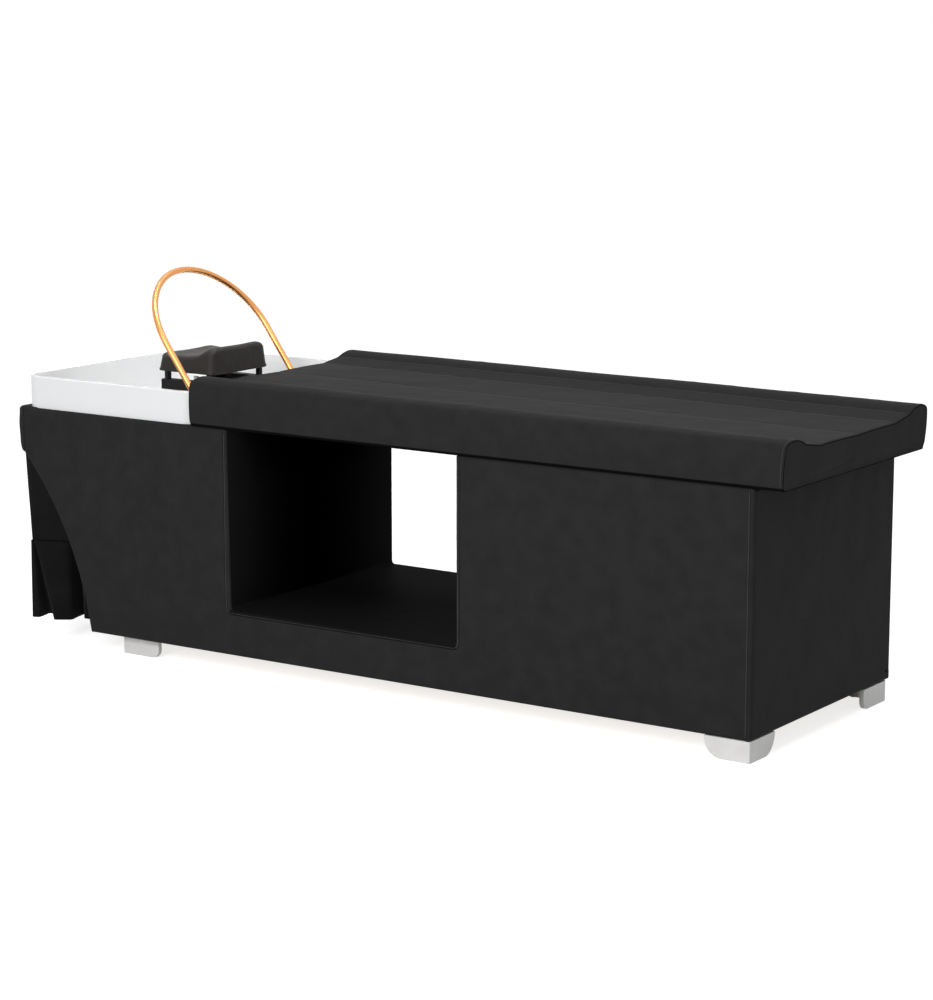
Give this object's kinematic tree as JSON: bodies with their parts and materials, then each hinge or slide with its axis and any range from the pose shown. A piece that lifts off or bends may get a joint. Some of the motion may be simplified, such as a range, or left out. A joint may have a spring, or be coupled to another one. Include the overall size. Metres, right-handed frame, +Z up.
{
  "type": "hair washing bed",
  "caption": "Padded bed for washing hair lying down: box with stool tunnel, sewn mattress, deep white basin, lift-out headrest, tilting spray arch and plumbing curtain.",
  "frame": {"origin": "on the floor, under the middle of the bounding box", "axes": "+X to the foot end, +Y to the far side in the picture, +Z up"},
  "size_m": [2.24, 0.724, 0.9652],
  "materials": {
    "dark_leather": "smooth leatherette, soft sheen",
    "foam": "matt open-cell foam",
    "moulded_foam": "satin self-skinned foam",
    "plywood": "raw plywood and softwood",
    "basin_white": "glossy white gelcoat",
    "rose_metal": "polished rose-gold plating",
    "zinc_steel": "zinc-plated",
    "chrome": "polished",
    "clear_plastic": "clear, glossy",
    "dark_plastic": "matt black",
    "pipe_plastic": "matt white",
    "seal_rubber": "matt",
    "foot_silver": "satin silver-white",
    "glide_brown": "matt brown",
    "curtain_cloth": "matt woven cloth"
  },
  "bodies": {
    "bed": {"arch_bracket_front": "rose_metal", "arch_bracket_rear": "rose_metal", "arch_feed": "rose_metal", "basin": "basin_white", "bed_deck": "plywood", "bottom_board": "plywood", "bracket_screws": "zinc_steel", "corner_battens": "plywood", "curtain_batten": "plywood", "curtain_skirt": "curtain_cloth", "curtain_yoke": "curtain_cloth", "deck_battens": "plywood", "drain_pipe": "pipe_plastic", "feed_locknut": "zinc_steel", "foot_end_board": "plywood", "foot_end_cover": "dark_leather", "foot_head_front": "foot_silver", "foot_head_rear": "foot_silver", "foot_screws": "zinc_steel", "foot_tail_front": "foot_silver", "foot_tail_rear": "foot_silver", "frame_glide": "glide_brown", "front_side_board": "plywood", "front_side_cover": "dark_leather", "head_band_board": "plywood", "head_band_cover": "dark_leather", "head_bearer": "plywood", "hinge_pins": "rose_metal", "mattress_base": "plywood", "mattress_bolts": "zinc_steel", "mattress_cover": "dark_leather", "mattress_foam": "foam", "neck_bearer": "plywood", "rear_side_board": "plywood", "rear_side_cover": "dark_leather", "trap_body": "pipe_plastic", "trap_cup": "pipe_plastic", "trap_nut": "pipe_plastic", "tunnel_floor_board": "plywood", "tunnel_foot_wall": "plywood", "tunnel_head_wall": "plywood", "tunnel_lining": "dark_leather", "waste_locknut": "pipe_plastic", "waste_outlet": "chrome", "waste_washers": "seal_rubber"},
    "arch": {"arch_tube": "rose_metal", "arch_knuckles": "rose_metal"},
    "stand": {"stand_housing": "dark_plastic", "stand_pads": "seal_rubber", "pump_body": "dark_plastic", "pump_strainer": "dark_plastic", "pump_riser": "pipe_plastic", "rinse_nozzle": "clear_plastic"},
    "headrest": {"headrest_posts": "dark_plastic", "headrest_carrier": "dark_plastic", "headrest_pillow": "moulded_foam"},
    "stopper": {"waste_stopper": "chrome"}
  },
  "joints": [
    {"name": "arch_tilt", "type": "hinge", "parent": "bed", "child": "arch", "pos_m": [-0.5775, 0, 0.587], "axis": [0, 1, 0], "range_deg": [-30, 40]},
    {"name": "stand_lift", "type": "slide", "parent": "bed", "child": "stand", "axis": [0, 0, 1], "range_m": [0, 0.08]},
    {"name": "headrest_lift", "type": "slide", "parent": "stand", "child": "headrest", "axis": [0, 0, 1], "range_m": [0, 0.06]},
    {"name": "stopper_lift", "type": "slide", "parent": "bed", "child": "stopper", "axis": [0, 0, 1], "range_m": [0, 0.009]}
  ]
}
